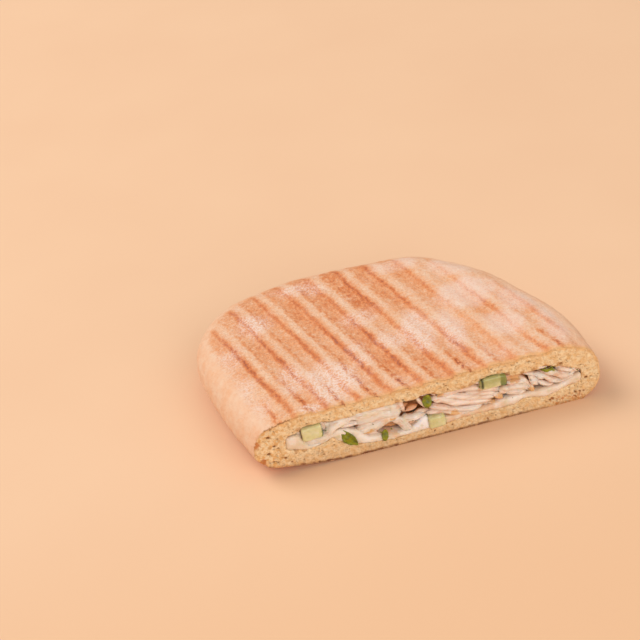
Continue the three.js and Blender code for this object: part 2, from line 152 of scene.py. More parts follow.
class Finish:
    """One material, from its pattern to its shader."""

    def __init__(self, name):
        self.material = bpy.data.materials.new(name)
        self.material.use_nodes = True
        self.tree = self.material.node_tree
        self.tree.nodes.clear()
        here = self.node("TexCoord", out="Object")
        from_cut = self.node("VectorMath", {"operation": "SUBTRACT"}, {0: here, 1: at(0, 0, 0)})
        self.place = self.node("VectorMath", {"operation": "SCALE"}, {0: from_cut, "Scale": 1 / MM})
        self.u = self.node("SeparateXYZ", {}, {0: self.place}, out="X")
        self.y = self.node("SeparateXYZ", {}, {0: self.place}, out="Y")
        self.z = self.node("SeparateXYZ", {}, {0: self.place}, out="Z")

    def node(self, kind, settings=None, sockets=None, out=0):
        """Adds a node: its settings first, then the values or links of its sockets."""
        made = self.tree.nodes.new("ShaderNode" + kind)
        for name, value in (settings or {}).items():
            if name == "stops":
                self.set_stops(made.color_ramp.elements, value)
            else:
                setattr(made, name, value)
        for name, value in (sockets or {}).items():
            if isinstance(value, Wire):
                self.tree.links.new(value.socket, made.inputs[name])
            else:
                made.inputs[name].default_value = value
        return Wire(self, made.outputs[out]) if made.outputs else None

    @staticmethod
    def set_stops(elements, stops):
        while len(elements) < len(stops):
            elements.new(1.0)
        for element, (position, tone) in zip(elements, stops):
            element.position = position
            element.color = tone

    def smooth(self, value, low, high):
        """0 below low, 1 above high, eased in between."""
        ends = {"Value": value, "From Min": low, "From Max": high}
        return self.node("MapRange", {"interpolation_type": "SMOOTHSTEP"}, ends)

    def bump_line(self, value, middle, half):
        """A soft ridge that is 1 at the middle and 0 past half a width on either side."""
        return 1 - self.smooth(abs(value - middle), 0.0, half)

    def least(self, value, other):
        return value.maths("MINIMUM", other)

    def most(self, value, other):
        return value.maths("MAXIMUM", other)

    def grain(self, size, detail=2.0, stretch=(1, 1, 1), rough=0.5, shift=0.0):
        """Soft noise around a half, with lumps of about that size in millimetres."""
        drawn = self.node("Mapping", {}, {"Vector": self.place, "Scale": stretch, "Location": (shift,) * 3})
        values = {"Vector": drawn, "Scale": 1 / size, "Detail": detail, "Roughness": rough}
        return self.node("TexNoise", {}, values, out="Fac")

    def cells(self, size, stretch=(1, 1, 1)):
        """Distance from the middle of the nearest cell, in cell widths."""
        drawn = self.node("Mapping", {}, {"Vector": self.place, "Scale": stretch})
        return self.node("TexVoronoi", {}, {"Vector": drawn, "Scale": 1 / size}, out="Distance")

    def mix(self, factor, first, second):
        """A colour between two others."""
        values = {0: factor, MIX_FIRST: first, MIX_SECOND: second}
        return self.node("Mix", {"data_type": "RGBA"}, values, out=MIX_OUT)

    def ramp(self, factor, *stops):
        """A colour from a row of (position, colour)."""
        return self.node("ValToRGB", {"stops": stops}, {"Fac": factor}, out="Color")

    def done(self, shader, bumps=()):
        """Ends the material in a Principled shader; bumps are (height, depth in millimetres)."""
        normal = None
        for height, depth in bumps:
            links = {"Height": height, "Distance": depth * MM}
            if normal:
                links["Normal"] = normal
            normal = self.node("Bump", {}, links)
        if normal:
            shader = {**shader, "Normal": normal}
        surface = self.node("BsdfPrincipled", {}, shader)
        self.node("OutputMaterial", {}, {"Surface": surface})
        return self.material


def tone(red, green, blue):
    """A colour as a screen shows it, from 0 to 255, as the light values that a shader takes."""
    parts = [c / 255 for c in (red, green, blue)]
    linear = [c / 12.92 if c <= 0.04045 else ((c + 0.055) / 1.055) ** 2.4 for c in parts]
    return (*linear, 1.0)


def moist(weight, depth, radius=(1.0, 0.2, 0.1)):
    """Shader values of wet food that lets light in, to a depth in millimetres."""
    return {"Subsurface Weight": weight, "Subsurface Scale": depth * MM, "Subsurface Radius": radius}


print("crumb as light values:", [round(c, 2) for c in tone(240, 208, 158)])

# %% [markdown]
# Every piece goes through the same few steps: take the solid of the model, weld its loose triangles, rebuild
# the skin with even quads, and move its points. Even quads matter because relief is made by moving
# points, and long thin triangles would crease.

# %% Helpers for shapes
WELD = 2e-6


def welded_solid(node):
    """A copy of a solid of the model, with its loose triangles joined."""
    bm = bmesh.new()
    bm.from_mesh(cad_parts[node].data)
    bmesh.ops.remove_doubles(bm, verts=bm.verts, dist=WELD)
    return bm


def through_modifiers(bm, *modifiers, group=None):
    """The shape after modifiers given as (kind, settings); group names the points' own weights."""
    mesh = bpy.data.meshes.new("raw")
    bm.to_mesh(mesh)
    bm.free()
    raw = bpy.data.objects.new("raw", mesh)
    bpy.context.scene.collection.objects.link(raw)
    if group:
        raw.vertex_groups.new(name=group)
    for kind, settings in modifiers:
        modifier = raw.modifiers.new(kind, kind)
        for name, value in settings.items():
            setattr(modifier, name, value)
    bpy.context.view_layer.update()
    shaped = raw.evaluated_get(bpy.context.evaluated_depsgraph_get()).to_mesh()
    result = bmesh.new()
    result.from_mesh(shaped)
    bpy.data.objects.remove(raw)
    bpy.data.meshes.remove(mesh)
    return result


def pour(bm, target):
    """Adds one shape to another and lets go of the first."""
    mesh = bpy.data.meshes.new("poured")
    bm.to_mesh(mesh)
    bm.free()
    target.from_mesh(mesh)
    bpy.data.meshes.remove(mesh)


def even_skin(bm, size):
    """The same form with quads of one size, in millimetres."""
    return through_modifiers(bm, ("REMESH", {"mode": "VOXEL", "voxel_size": size * MM}))


def soften(bm, verts, times):
    for _ in range(times):
        bmesh.ops.smooth_vert(bm, verts=verts, factor=0.5, use_axis_x=True, use_axis_y=True, use_axis_z=True)


def lumps(place, size, octaves):
    """Smooth noise between about -1 and 1 at a place in millimetres."""
    return noise.fractal(place / size, 1.0, 2.0, octaves, noise_basis="PERLIN_ORIGINAL")


def relief(place, size, depth, octaves=2):
    """Smooth ups and downs with lumps of that size and depth, in millimetres."""
    return depth * lumps(place, size, octaves)


def eased(value, low, high):
    """0 below low, 1 above high, with a soft start and end."""
    share = min(1.0, max(0.0, (value - low) / (high - low)))
    return share * share * (3 - 2 * share)


def piece(bm, name, material, slot, *nodes):
    """Makes the finished object, sets it on the model and hides the solids that it stands for."""
    for face in bm.faces:
        face.smooth = True
    mesh = bpy.data.meshes.new(name)
    bm.to_mesh(mesh)
    bm.free()
    mesh.materials.append(material)
    made = bpy.data.objects.new(name, mesh)
    bpy.context.scene.collection.objects.link(made)
    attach(made, "root")
    if nodes:
        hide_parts(*nodes)
    mesh.calc_loop_triangles()
    print(name, len(mesh.loop_triangles), "triangles")


print("loose points are joined within", round(WELD / MM, 4), "mm")

# %% [markdown]
# The bread is one skin: crust outside, crumb where it is cut. The grill's ridges are already in the solid,
# so the skin only needs softening, because dough never keeps a sharp step, and then the small
# relief of a baked surface. A ray from each point tells which ones lie in the pocket.

# %% Bread: an even skin
BREAD_QUAD = 0.9
MOUTH_DEPTH = 9
# The least way across a gap that counts as the pocket, and how much of a normal must lie across or up
CREASE = 2.5
FACING = 0.2
# How far behind the cut a point still belongs to the cut face
CUT_SKIN = 0.5

bread_solid = welded_solid("bread")
bread_walls = BVHTree.FromBMesh(bread_solid)
bread_bm = even_skin(bread_solid, BREAD_QUAD)
bread_bm.normal_update()


def inside_pocket(vert):
    """True where the way straight out from the skin meets bread again, across the pocket."""
    outward = Vector((vert.normal.x, max(vert.normal.y, 0), vert.normal.z))
    if outward.length < FACING:
        return False
    _, _, _, reach = bread_walls.ray_cast(vert.co + outward.normalized() * MM, outward)
    return reach is not None and reach > CREASE * MM


hidden = [v.index for v in bread_bm.verts if sandwich_mm(v.co).y > MOUTH_DEPTH and inside_pocket(v)]
print("bread skin:", len(bread_bm.faces), "faces,", len(hidden), "points deep in the pocket")

# %% [markdown]
# Nobody sees the inside of the pocket, so it keeps only a few large faces. The Decimate modifier thins a
# shape where a vertex group says so, and the weights of that group can be set on the bmesh itself.

# %% Bread: thin out the hidden pocket
POCKET_KEEP = 0.12


def thinned(bm, hidden_points, keep):
    """Fewer faces at the hidden points alone."""
    weights = bm.verts.layers.deform.verify()
    bm.verts.ensure_lookup_table()
    for index in hidden_points:
        bm.verts[index][weights][0] = 1.0
    hidden_share = len(hidden_points) / len(bm.verts)
    settings = {"ratio": 1 - hidden_share * (1 - keep), "vertex_group": "hidden"}
    return through_modifiers(bm, ("DECIMATE", settings), group="hidden")


bread_bm = thinned(bread_bm, hidden, POCKET_KEEP)
bread_bm.normal_update()
print("after thinning:", len(bread_bm.faces), "faces")

# %% [markdown]
# Dough has no corners. The rim and the shoulder are softened most, the ribbed top only a little so that the
# ridges stay, and the points on the cut slide within the cut, which a knife left flat.

# %% Bread: soften the crust
RIM_PASSES = 24
TOP_PASSES = 12
LIP_PASSES = 3
# The lip is the crust just behind the cut
LIP = 3.5
# The pressed top is this high at the left, rises by so much between these places, and ends at the shoulder
TOP_LEFT = 29.2
TOP_RISE = 1.4
RISE_ENDS = (30, 140)
SHOULDER = 1.8


def is_ribbed(spot):
    """True on the pressed top, false on the rims round it."""
    top_height = TOP_LEFT + TOP_RISE * eased(spot.x, *RISE_ENDS)
    return spot.z > top_height - SHOULDER


crust = [v for v in bread_bm.verts if sandwich_mm(v.co).y >= CUT_SKIN and not inside_pocket(v)]
lip = [v for v in crust if sandwich_mm(v.co).y < LIP]
ribbed = [v for v in crust if sandwich_mm(v.co).y >= LIP and is_ribbed(sandwich_mm(v.co))]
rim = [v for v in crust if sandwich_mm(v.co).y >= LIP and not is_ribbed(sandwich_mm(v.co))]
for points, passes in ((rim, RIM_PASSES), (ribbed, TOP_PASSES), (lip, LIP_PASSES)):
    soften(bread_bm, points, passes)
print("crust points:", len(crust), "of them behind the lip:", len(rim) + len(ribbed))

# %% [markdown]
# A skin of even quads bevels every sharp edge a little. The lower edge of the cut is drawn down and out
# again to its corner, because in the picture it is a crisp dark line.

# %% Bread: a sharp lower edge
# The underside turns up towards the left end: by how much, from how far along, and how much sooner behind
RIM_LIFT = 6.2
RIM_REACH = 46
SIDE_LEAN = 0.2
RIM_CURVE = 1.5
# Up to this height and this depth points are drawn to the edge, between these places along the cut
EDGE_REACH = 2.6
EDGE_DEPTH = 3.2
EDGE_ENDS = (5, 152)


def underside(spot):
    """How high the underside has turned up at a place, in millimetres."""
    inside = max(0.0, (RIM_REACH - spot.x - SIDE_LEAN * spot.y) / RIM_REACH)
    return RIM_LIFT * inside**RIM_CURVE


drawn = 0
for vert in bread_bm.verts:
    spot = sandwich_mm(vert.co)
    height = spot.z - underside(spot)
    if spot.y < EDGE_DEPTH and height < EDGE_REACH and EDGE_ENDS[0] < spot.x < EDGE_ENDS[1]:
        vert.co.z -= max(height, 0) * (1 - eased(height, 0, EDGE_REACH)) * MM
        vert.co.y -= spot.y * (1 - eased(spot.y, 0, EDGE_DEPTH)) * MM
        drawn += 1
print("points drawn down:", drawn)

# %% [markdown]
# The cut shows the small pores of the crumb, which are finer than the quads of the skin. So the faces of the
# cut alone are split once more.

# %% Bread: finer quads on the cut
near_cut = [e for e in bread_bm.edges if all(sandwich_mm(v.co).y < CUT_SKIN for v in e.verts)]
bmesh.ops.subdivide_edges(bread_bm, edges=near_cut, cuts=1, use_grid_fill=True)
bread_bm.normal_update()
print("with a finer cut:", len(bread_bm.faces), "faces")

# %% [markdown]
# The relief comes from smooth noise at several sizes: a slow swell, the puckers of dried crust and fine
# pebbles. Towards the cut the edge gets ragged. On the crumb every move goes inwards: small round
# pores from a cell pattern, and a few large ones where the picture shows them.

# %% Bread: how the crust and the crumb rise and fall
# Size and depth of each kind of lump
SWELL = (24, 0.3)
PUCKER = (5.5, 0.13)
PEBBLE = (1.7, 0.06)
EDGE_RAGGED = (2.2, 0.3)
# How much deeper the puckers are on the rims than on the pressed top
SIDE_PUCKER = 1.7
# A common pore's width and height, its depth, and how wide the cells open
PORE_CELL = (1.9, 1.35)
PORE_DEPTH = 0.9
PORE_REACH = 0.3
# Large pores of the crumb: along the cut, height and radius
BIG_PORES = [
    (8, 21, 0.9), (10, 15.9, 0.8), (7, 12.4, 0.9), (8.6, 7.6, 0.7), (10.5, 6.8, 0.6), (14, 8.2, 0.8),
    (25.8, 23.4, 0.7), (153, 11, 0.9), (155.3, 10.8, 0.6), (22, 4.8, 0.6), (9.6, 25.2, 0.8), (11, 23.8, 0.5),
    (5, 9.4, 0.6), (16.5, 5, 0.7), (12, 19.4, 0.6), (31, 5, 0.6), (151, 18.4, 0.6), (141.8, 21.8, 0.8),
    (51, 24.4, 0.5), (90, 3.4, 0.6), (147.8, 4, 0.7), (137, 4, 0.6), (64, 2.6, 0.5), (119, 3.2, 0.5),
]
BIG_PORE_DEPTH = 1.5
# A large pore is so much wider than high, whole within the first share of its radius, and ends at the second
BIG_PORE_WIDER = 1.3
BIG_PORE_EDGE = (0.35, 1.25)


def crust_relief(spot):
    """How far the crust stands out at a place, in millimetres."""
    pucker = relief(spot, *PUCKER) * (1 if is_ribbed(spot) else SIDE_PUCKER)
    ragged = relief(spot, *EDGE_RAGGED) * (1 - eased(spot.y, 0, LIP))
    return relief(spot, *SWELL) + pucker + relief(spot, *PEBBLE) + ragged


def pore_at(spot):
    """How deep the crumb is open at a place on the cut, in millimetres."""
    cell = Vector((spot.x / PORE_CELL[0], spot.z / PORE_CELL[1], 0.5))
    distance = noise.voronoi(cell)[0][0]
    elsewhere = spot + Vector((40, 0, 0))
    reach = PORE_REACH + relief(elsewhere, 6, 0.22, 1)
    pit = PORE_DEPTH * eased(reach - distance, 0, PORE_REACH)
    for u, z, radius in BIG_PORES:
        away = math.hypot(spot.x - u, (spot.z - z) * BIG_PORE_WIDER)
        whole, ended = (share * radius for share in BIG_PORE_EDGE)
        pit = max(pit, BIG_PORE_DEPTH * radius * (1 - eased(away, whole, ended)))
    return pit


print("large pores:", len(BIG_PORES))

# %% [markdown]
# Each point of the cut also keeps how far it is from the crust and how deep its pore is. The finish reads
# both as attributes: a pore gets painted shade, and the crumb is yellower under the crust. A tree of the
# points just behind the cut finds the nearest piece of crust quickly.

# %% Bread: move the points
CRUST_LINE_DEPTH = 2.5
# Between these distances from the crust the crumb begins
CRUMB_START = (0.4, 1.6)
CRUMB_ROUGH = 0.16
CRUMB_HOLLOW = 0.25
POCKET_LUMPS = (3, 0.13)
# The pocket counts as this far from any crust
CRUMB_SKIN = 9

crust_line = kdtree.KDTree(len(bread_bm.verts))
for number, vert in enumerate(bread_bm.verts):
    spot = sandwich_mm(vert.co)
    if CUT_SKIN < spot.y < CRUST_LINE_DEPTH and not inside_pocket(vert):
        crust_line.insert((spot.x, spot.z, 0), number)
crust_line.balance()

skin_depth = bread_bm.verts.layers.float.new("skin")
pore_depth = bread_bm.verts.layers.float.new("pore")
for vert in bread_bm.verts:
    spot = sandwich_mm(vert.co)
    if spot.y < CUT_SKIN:
        _, _, away = crust_line.find((spot.x, spot.z, 0))
        vert[skin_depth] = away
        inward = eased(away, *CRUMB_START)
        open_by = inward * pore_at(spot)
        vert[pore_depth] = open_by
        rough = CRUMB_ROUGH * (1 + lumps(spot, 0.9, 2)) + CRUMB_HOLLOW * (1 + lumps(spot, 5, 2))
        vert.co += Vector((0, 1, 0)) * ((open_by + inward * rough) * MM)
    elif inside_pocket(vert):
        vert[skin_depth] = CRUMB_SKIN
        vert.co += vert.normal * (relief(spot, *POCKET_LUMPS) * MM)
    else:
        vert.co += vert.normal * (crust_relief(spot) * MM)
        vert.co.z = max(vert.co.z, bread_low.z)
bread_bm.normal_update()
print("relief on", len(bread_bm.verts), "points")

# %% [markdown]
# Each bar of the grill pressed a flat band into the bread and scorched it most at its two edges: a strong
# line on the right, a weaker one on the left, and toasted bread between. No bar pressed evenly, so every
# band has its own strengths from the cut to the back. They are painted onto the points of the skin.

# %% Bread: how strong the grill's marks are
BAND_PITCH = 13.85
BAND_FIRST = 11.45
BAND_LEAN = math.radians(15.5)
# How dark, at these depths behind the cut: the strong line, the weak line, and the toast between them
MARK_DEPTHS = (4, 24, 47, 80)
MARKS = [
    ((0.6, 0.9, 1.0, 0.6), (0.7, 0.0, 0.1, 0.2), (0.12, 0.05, 0.25, 0.4)),
    ((0.75, 0.75, 0.85, 0.7), (0.9, 0.45, 0.4, 0.4), (0.25, 0.22, 0.3, 0.4)),
    ((0.7, 0.45, 0.85, 0.6), (1.15, 0.2, 0.5, 0.4), (0.12, 0.1, 0.25, 0.4)),
    ((0.6, 0.9, 0.95, 0.6), (1.2, 0.65, 0.55, 0.5), (0.12, 0.3, 0.25, 0.5)),
    ((0.6, 0.85, 0.85, 0.5), (1.3, 0.55, 0.6, 0.6), (0.3, 0.5, 0.45, 0.6)),
    ((0.8, 0.75, 0.5, 0.8), (0.9, 0.5, 0.25, 0.4), (0.45, 0.35, 0.15, 0.7)),
    ((0.58, 0.85, 0.55, 0.7), (1.0, 0.3, 0.15, 0.4), (0.3, 0.25, 0.15, 0.5)),
    ((0.5, 0.32, 0.25, 0.5), (0.6, 0.2, 0.2, 0.1), (0.3, 0.2, 0.15, 0.4)),
    ((0.6, 0.3, 0.6, 0.3), (0.1, 0.1, 0.2, 0.1), (0.0, 0.05, 0.3, 0.1)),
    ((0.15, 0.55, 0.45, 0.0), (1.0, 0.2, 0.35, 0.0), (0.15, 0.1, 0.25, 0.0)),
]


def mark_strengths(spot):
    """Strong line, weak line and toast of the band that a place belongs to."""
    across = spot.x * math.cos(BAND_LEAN) + spot.y * math.sin(BAND_LEAN)
    band = math.floor((across - BAND_FIRST) / BAND_PITCH)
    if not 0 <= band < len(MARKS):
        return 0.0, 0.0, 0.0
    step = sum(spot.y > depth for depth in MARK_DEPTHS[1:-1])
    share = eased(spot.y, MARK_DEPTHS[step], MARK_DEPTHS[step + 1])
    return tuple(line[step] + (line[step + 1] - line[step]) * share for line in MARKS[band])


print("bands:", len(MARKS))

# %% [markdown]
# The bread was dusted with flour, and some of it is still there. It is painted in round patches, in the same
# way as the marks, where the picture shows the top whitest.

# %% Bread: paint the marks and the flour
# Patches of flour: along the cut, behind it, their two radii and how thick
FLOUR = [
    (42, 20, 15, 20, 1.0), (89, 41, 10, 20, 1.0), (76, 40, 9, 13, 0.6), (66, 62, 10, 9, 0.6),
    (103, 35, 8, 22, 0.8), (118, 62, 20, 16, 0.9), (127, 30, 12, 14, 0.8), (138, 48, 13, 18, 0.8),
    (26, 28, 8, 17, 0.7), (29, 3, 6, 5, 0.9), (58, 30, 9, 20, 0.35), (92, 100, 16, 9, 0.6),
    (18, 78, 13, 13, 0.7), (46, 98, 14, 9, 0.6), (5, 22, 10, 24, 0.45), (118, 88, 14, 16, 0.7),
    (2, 60, 8, 22, 0.3), (116, 12, 10, 9, 0.45), (146, 22, 8, 22, 0.7), (72, 8, 8, 8, 0.3),
]
# Within this share of its radii a patch is whole, and past the second one it has ended
PATCH_EDGE = (0.35, 1.15)


def flour_at(spot):
    """How thick the flour lies at a place of the crust, from 0 to 1."""
    patches = (
        thick * (1 - eased(math.hypot((spot.x - u) / wide, (spot.y - y) / deep), *PATCH_EDGE))
        for u, y, wide, deep, thick in FLOUR
    )
    return max(patches)


paint = [bread_bm.verts.layers.float.new(name) for name in ("scorch", "release", "toast", "flour")]
for vert in bread_bm.verts:
    spot = sandwich_mm(vert.co)
    for layer, strength in zip(paint, (*mark_strengths(spot), flour_at(spot))):
        vert[layer] = strength
print("patches of flour:", len(FLOUR))

# %% [markdown]
# The finish draws the lines themselves, because they are finer than the points of the skin. Across the bands
# the pattern repeats, so the place within one pitch says which line is near. Slow noise bends the lines
# and fine noise breaks them up, as a rough crust does.

# %% Finish: the grill's marks
# Where the two lines lie within a band, and how far each spreads to either side, in millimetres
WEAK_LINE = 2.5
WEAK_SPREAD = 2.4
STRONG_LINE = 9.4
STRONG_SPREAD = 2.6


def painted(f, name):
    """A value that was painted onto the points."""
    return f.node("Attribute", {"attribute_name": name}, out="Fac")


def grill_marks(f):
    """How brown the grill made the crust, and where the top was pressed."""
    bend = (f.grain(26, 2) - 0.5) * 3 + (f.grain(4, 3, shift=30) - 0.5) * 2.6
    across = f.u * math.cos(BAND_LEAN) + f.y * math.sin(BAND_LEAN) + bend
    into = ((across - BAND_FIRST) / BAND_PITCH).maths("FRACT") * BAND_PITCH
    before_strong = f.smooth(into, STRONG_LINE - 1.6, STRONG_LINE)
    fading = before_strong * (1 - f.smooth(into, STRONG_LINE, STRONG_LINE + 3.8))
    strong = f.most(f.bump_line(into, STRONG_LINE, STRONG_SPREAD), fading * 0.62) * painted(f, "scorch")
    weak = f.bump_line(into, WEAK_LINE, WEAK_SPREAD) * painted(f, "release")
    past_weak = f.smooth(into, WEAK_LINE - 1.6, WEAK_LINE + WEAK_SPREAD)
    between = past_weak * (1 - f.smooth(into, STRONG_LINE, STRONG_LINE + 3))
    crackle = f.smooth(f.grain(1.5, 3, stretch=(1, 0.6, 1)), 0.34, 0.64)
    slow = f.smooth(f.grain(9, 2, shift=11), 0.3, 0.65)
    toast = between * painted(f, "toast") * (slow * 0.5 + 0.6)
    lines = f.most(strong * (crackle * 0.4 + 0.68), weak * (crackle * 0.9 + 0.25) * (slow * 0.4 + 0.75))
    marks = f.most(lines, toast * (crackle * 0.6 + 0.5)) + lines * toast * 0.3
    rise = f.smooth(f.u, *RISE_ENDS) * TOP_RISE + TOP_LEFT
    pressed = f.smooth(f.z - rise, -3.6, -1.9)
    return marks * pressed, pressed


print("a strong line lies", round(STRONG_LINE - WEAK_LINE, 1), "mm after the weak one of its band")

# %% [markdown]
# Under the marks the crust goes from cream to brown by one ramp, so that scorching and browning deepen the
# same colour. The yellow front edge, the dark specks, the dust and the flour are then laid over it in turn.

# %% Finish: crust
def crust_colour(f):
    """The crust's colour, how brown it is and how much flour lies on it."""
    brown, pressed = grill_marks(f)
    ragged_depth = f.y + (f.grain(3, 2, shift=60) - 0.5) * 4
    front = (1 - f.smooth(ragged_depth, 0.4, 3.6)) * f.smooth(f.u, 8, 26)
    rim_brown = (1 - f.smooth(f.z, 2, 14)) * 0.5
    cloud = (f.grain(9, 3, shift=5) - 0.5) * 0.3 + (f.grain(1.4, 3, shift=25) - 0.5) * (0.12 + pressed * 0.46)
    mottled = (f.grain(4, 3, shift=65) - 0.5) * (1 - pressed) * 0.3
    level = brown * 0.8 + f.most(rim_brown, front * 0.1) + cloud + mottled + 0.12
    crust = f.ramp(
        level,
        (0.0, tone(243, 206, 176)),
        (0.14, tone(241, 191, 153)),
        (0.32, tone(237, 168, 119)),
        (0.54, tone(227, 141, 84)),
        (0.78, tone(211, 115, 56)),
        (1.0, tone(172, 86, 40)),
    )
    crust = f.mix(front * (0.75 - brown * 0.45), crust, tone(240, 188, 128))
    speck = f.smooth(f.grain(0.8, 2, shift=40), 0.52, 0.64) * (brown * 0.8 + 0.2) * pressed
    crust = f.mix(speck * (1 - front * 0.7) * 0.65, crust, tone(172, 104, 88))
    grainy = 1 - f.smooth(f.u + f.y * 0.4, 80, 150) * 0.7
    dust = f.smooth(f.grain(0.75, 2, shift=71), 0.5, 0.66) * pressed
    crust = f.mix(dust * 0.3 * grainy, crust, tone(198, 124, 86))
    grains = f.smooth(f.grain(0.9, 3, shift=17), 0.42, 0.58) * grainy + (1 - grainy) * 0.5
    thick = painted(f, "flour") + (f.grain(11, 4, shift=90) - 0.5) * 1.5
    flour = f.smooth(thick, 0.0, 0.95) * (grains * 0.8 + 0.12) * (pressed * 0.8 + 0.15) * (1 - brown * 0.5)
    crust = f.mix(flour * (1 - front * 0.6), crust, tone(246, 222, 211))
    return crust, brown, flour


print("flour as light values:", [round(c, 2) for c in tone(246, 222, 211)])

# %% [markdown]
# The crumb is pale and mottled, with painted shade in its pores, yellower under the crust and singed along
# the lower edge, where a dark line is partly singed crust and partly painted contact shadow. Painted shade
# darkens it in a few places round the filling, and heat has browned it at its two ends.

# %% Finish: crumb
# Spots of painted shade on the crumb round the filling, and how far each spreads
PAINTED_SHADE_SPOTS = [
    (100.5, 23), (117.2, 23.4), (124, 22.4), (97, 22.4), (66.5, 23.6), (19.2, 10.4), (22.8, 10.2),
    (21.8, 21.6), (51, 8.2), (134.8, 22.4), (129.8, 22), (141.5, 21.6),
]
PAINTED_SHADE_RADIUS = 1.5


def rim_lift(f):
    """How far the underside turns up towards the left end."""
    inside = f.least(f.most((RIM_REACH - f.u - f.y * SIDE_LEAN) / RIM_REACH, 0.0), 1.0)
    return inside**RIM_CURVE * RIM_LIFT


def near(f, u, z, radius):
    """1 at a place of the cut, falling to 0 a ragged radius away."""
    away = ((f.u - u) ** 2 + (f.z - z) ** 2) ** 0.5
    ragged = away + (f.grain(1.4, 2, shift=u) - 0.5) * radius * 1.6
    return 1 - f.smooth(ragged, radius * 0.5, radius * 1.1)


def lower_edge(f, crumb):
    """The crumb's colour with the singed edge under it, and a bottom line of singed crust and painted contact
    shadow, ragged and darkest in patches.
    """
    above = f.z - rim_lift(f)
    ragged = f.smooth(f.grain(2.2, 3, shift=3), 0.4, 0.56)
    singed = (1 - f.smooth(above, 0.3, 1.7)) * (ragged * 0.7 + 0.3) * (1 - f.smooth(f.u, 56, 90) * 0.35)
    crumb = f.mix(singed * 0.9, crumb, tone(136, 70, 34))
    # A dark line along the bottom: partly singed crust, partly painted contact shadow
    patches = f.smooth(f.grain(3.6, 4, shift=71), 0.36, 0.66)
    along = f.smooth(f.u, 12, 30) * (1 - f.smooth(f.u, 118, 134))
    line = (1 - f.smooth(above - patches * 0.5, 0.2, 1.0)) * along * (patches * 0.3 + 0.6)
    return f.mix(line * 0.85, crumb, tone(106, 50, 26))


def crumb_colour(f, skin):
    """The crumb's colour, and how far from the ragged edge of the crust it is."""
    pore = painted(f, "pore")
    crumb = f.mix(f.smooth(f.grain(2.4, 3), 0.35, 0.68), tone(246, 220, 178), tone(237, 198, 145))
    low = 1 - f.smooth(f.z, 1, 12)
    crumb = f.mix(low * (0.3 - f.smooth(f.u, 70, 130) * 0.22), crumb, tone(208, 154, 102))
    crumb = f.mix(f.smooth(f.grain(0.8, 2, shift=8), 0.5, 0.7) * 0.38, crumb, tone(200, 146, 86))
    left_end = 1 - f.smooth(f.u, 8, 22)
    toasty = f.smooth(f.grain(1.7, 3, shift=50), 0.48, 0.62) * (left_end * 0.45 + 0.3)
    crumb = f.mix(toasty, crumb, tone(222, 160, 84))
    # Painted shade in the pores: the deeper a pore, the darker the crumb there
    crumb = f.mix(f.smooth(pore, 0.15, 0.8) * 0.9, crumb, tone(150, 90, 40))
    edge = skin + (f.grain(1.1, 2) - 0.5) * 0.9
    crumb = f.mix((1 - f.smooth(edge, 0.3, 1.9)) * 0.6, crumb, tone(232, 174, 108))
    crumb = lower_edge(f, crumb)
    top_left = (1 - f.smooth(skin, 0.35, 1.0)) * f.smooth(f.z, 24.5, 26) * (1 - f.smooth(f.u, 18, 26))
    crumb = f.mix(top_left * f.smooth(f.grain(3, 2, shift=7), 0.4, 0.54) * 0.8, crumb, tone(140, 82, 40))
    burnt = f.most(near(f, 3.4, 8.4, 2.6), near(f, 2.4, 18.8, 2.2))
    # Painted shade where the crumb meets the filling
    painted_shade = near(f, 83, 22.2, 1.6)
    for u, z in PAINTED_SHADE_SPOTS:
        painted_shade = f.most(painted_shade, near(f, u, z, PAINTED_SHADE_RADIUS))
    crumb = f.mix(painted_shade * 0.6, crumb, tone(190, 128, 66))
    right_end = f.smooth(f.u, 134, 138) * (1 - f.smooth(f.u, 150, 154)) * (1 - f.smooth(f.z, 3.4, 5.4))
    burnt = f.most(burnt, right_end * f.smooth(f.grain(1.3, 2, shift=70), 0.46, 0.6) * 0.8)
    return f.mix(burnt * 0.8, crumb, tone(196, 108, 40)), edge


print("browned places of the crumb:", len(PAINTED_SHADE_SPOTS))

# %% [markdown]
# Crust and crumb are one material, because they are one skin: the distance from the crust, painted on the
# cut, says where one ends and the other begins. The smallest grains and bubbles are only a bump.

# %% Finish: crust and crumb together
BREAD_BUMP = 0.33


def bread_finish():
    f = Finish("toasted_flatbread")
    crust, brown, flour = crust_colour(f)
    crumb, edge = crumb_colour(f, painted(f, "skin"))
    crumbness = f.smooth(edge, 0.1, 0.5)
    colour = f.mix(crumbness, crust, crumb)
    bubbles = 1 - f.smooth(f.cells(0.85, stretch=(1, 1, 1.3)), 0.12, 0.5)
    fine = f.grain(0.45, 3)
    pebbles = f.grain(1.3, 3)
    height = (fine * 1.1 + pebbles * 1.3) * (1 - crumbness) + (fine * 0.5 - bubbles * 0.8) * crumbness
    rough = 0.62 + crumbness * 0.28 + flour * 0.2 - brown * 0.1
    return f.done({"Base Color": colour, "Roughness": rough, "IOR": 1.42}, bumps=[(height, BREAD_BUMP)])


piece(bread_bm, "bread_crust", bread_finish(), "bread", "bread")

# %% [markdown]
# Chicken pulled apart by hand comes as strips of parallel fibres. Each strip follows a line of a few places
# that the eye can read off the picture, and a cubic curve through them makes it smooth.

